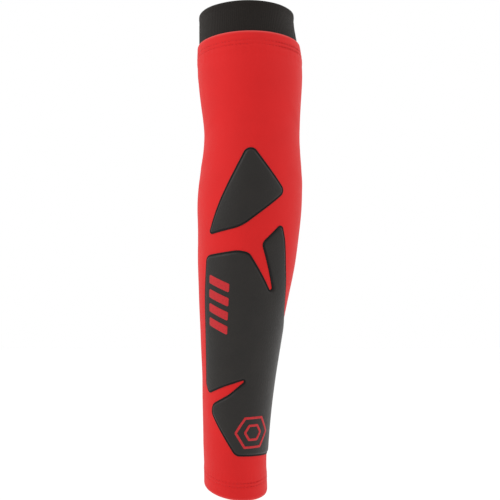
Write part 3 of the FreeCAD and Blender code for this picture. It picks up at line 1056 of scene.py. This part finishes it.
def seam_line(heights, share, lift):
    """Points along the seam, at a share of its half width to one side and a lift over the knit."""
    ring = ring_at(heights)
    turn = SEAM_ANGLE + share * SEAM_HALF_MM / girth_radius(heights)
    return skin(ring, turn, lie(ring, turn) + lift)[0]


def build_ridge():
    """The flatlock seam down the inner side of the arm: a low flat ridge."""
    row_mm, strip = 1.6, 0.0006
    flank = [(-1, -0.3), (-1, 0.1), (-0.8, 0.26), (-0.3, 0.33)]
    section = flank + [(0, 0.22)] + [(-share, lift) for share, lift in reversed(flank)]
    heights = np.arange(SEAM_TOP, SEAM_END, -row_mm)
    rows = [seam_line(heights, share, lift) for share, lift in section]
    count, wide = len(heights), len(section)
    faces, uv = [], []
    for r in range(wide):
        s = (r + 1) % wide
        for k in range(count - 1):
            faces.append((r * count + k, r * count + k + 1, s * count + k + 1, s * count + k))
            top, low = heights[k] * MM, heights[k + 1] * MM
            left, right = r * strip, (r + 1) * strip
            uv += [(left, top), (left, low), (right, low), (right, top)]
    for k, order in ((0, 1), (count - 1, -1)):
        faces.append(tuple([r * count + k for r in range(wide)][::order]))
        uv += [(i * strip, heights[k] * MM) for i in range(wide)]
    ridge = facing_out(make("seam_ridge", np.concatenate(rows), faces, uv))
    return dress(ridge, red_knit)


def build_zigzag():
    """The seam's cover thread, which swings from side to side over the ridge."""
    step, per_step, share, lift, inset, phase = 1.35, 4, 0.92, 0.40, 1, 0.4
    nearly = 0.999  # so that the turns drift along its points
    total = int((SEAM_TOP - SEAM_END - 2 * inset) / step)
    place = np.arange(total * per_step) / per_step
    swing = 2 / math.pi * np.arcsin(np.sin(place * math.pi * nearly + phase)) * share
    path = seam_line(SEAM_TOP - inset - place * step, swing, lift)
    points, faces = thread([path], radius_mm=0.2, sides=5)
    return dress(make("seam_zigzag", points, faces), red_thread)


seam_ridge, seam_zigzag = build_ridge(), build_zigzag()
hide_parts("upper_seam_thread", "elbow_seam_thread", "forearm_seam_thread")
bend(seam_ridge)
bend(seam_zigzag)


# ---- silicone grips inside
def grips(name, heights, thick_mm, node, body):
    """Rings of wavy silicone bead on the inner face, this thick under the skin."""
    steps, waves, swing, sunk, bead = 480, 36, 1.1, 0.25, 0.75
    turn = np.arange(steps) * 2 * math.pi / steps
    paths = []
    for k, height in enumerate(heights):
        wavy = ring_at(height + swing * np.sin(turn * waves + k))
        paths.append(skin(wavy, turn, -thick_mm - sunk)[0])
    points, faces = thread(paths, bead, sides=8, closed=True)
    obj = make(name, points, faces)
    dress(obj, silicone)
    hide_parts(node)
    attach(obj, body)


grips("cuff_grips", (HEM + 3, HEM + 10, HEM + 17), CUFF_SUNK + CUFF_THICK, "cuff_gripper_strips", UPPER)
grips("wrist_grips", (WRIST + 5, WRIST + 12), KNIT * 2, "wrist_gripper_strips", FOREARM)

# ---- floor, light and camera
FLOOR_Z, FLOOR_SIZE, FLOOR_GLOW = -0.8, 18, 0.12


def lay_floor():
    """A pale floor, which glows a little, so that it stays as pale as the backdrop."""
    bpy.ops.mesh.primitive_plane_add(size=FLOOR_SIZE, location=(0, 0, FLOOR_Z))
    obj = bpy.context.object
    obj.name = "floor"
    mat, *_ = new_material(
        "floor", (0.9, 0.9, 0.9), 0.8, emission_color=(1, 1, 1, 1), emission_strength=FLOOR_GLOW
    )
    obj.data.materials.append(mat)


def softbox(name, place, wide, tall, power):
    """A rectangular light that faces the sleeve's middle, with its power in watts."""
    data = bpy.data.lights.new(name, "AREA")
    data.shape = "RECTANGLE"
    data.size, data.size_y, data.energy = wide, tall, power
    obj = bpy.data.objects.new(name, data)
    bpy.context.scene.collection.objects.link(obj)
    obj.location = place
    obj.rotation_euler = (Vector(MIDDLE) - Vector(place)).to_track_quat("-Z", "Y").to_euler()


lay_floor()
MIDDLE = (0, 0.02, -0.05)
softbox("left_softbox", (-1.2, -0.35, 0.75), wide=0.8, tall=1.4, power=10.5)
softbox("right_softbox", (1.25, -0.1, 0.75), wide=0.7, tall=1.4, power=5.5)
softbox("back_softbox", (0.4, 1.8, 0.6), wide=1.6, tall=1.6, power=8)

world = bpy.data.worlds.new("studio")
bpy.context.scene.world = world
world.use_nodes = True
ROOM_LIGHT = 1.0  # it is the white backdrop too
sky = world.node_tree.nodes["Background"]
sky.inputs["Color"].default_value = (1, 1, 1, 1)
sky.inputs["Strength"].default_value = ROOM_LIGHT

scene = bpy.context.scene
scene.view_settings.view_transform = "Standard"
camera_data = bpy.data.cameras.new("camera")
camera_data.lens, camera_data.sensor_width = 95.8, 36.0
camera = bpy.data.objects.new("camera", camera_data)
scene.collection.objects.link(camera)
camera.location = (0.0008, -1.1, -0.0496)
camera.rotation_euler = (math.radians(90), 0, 0)
scene.camera = camera
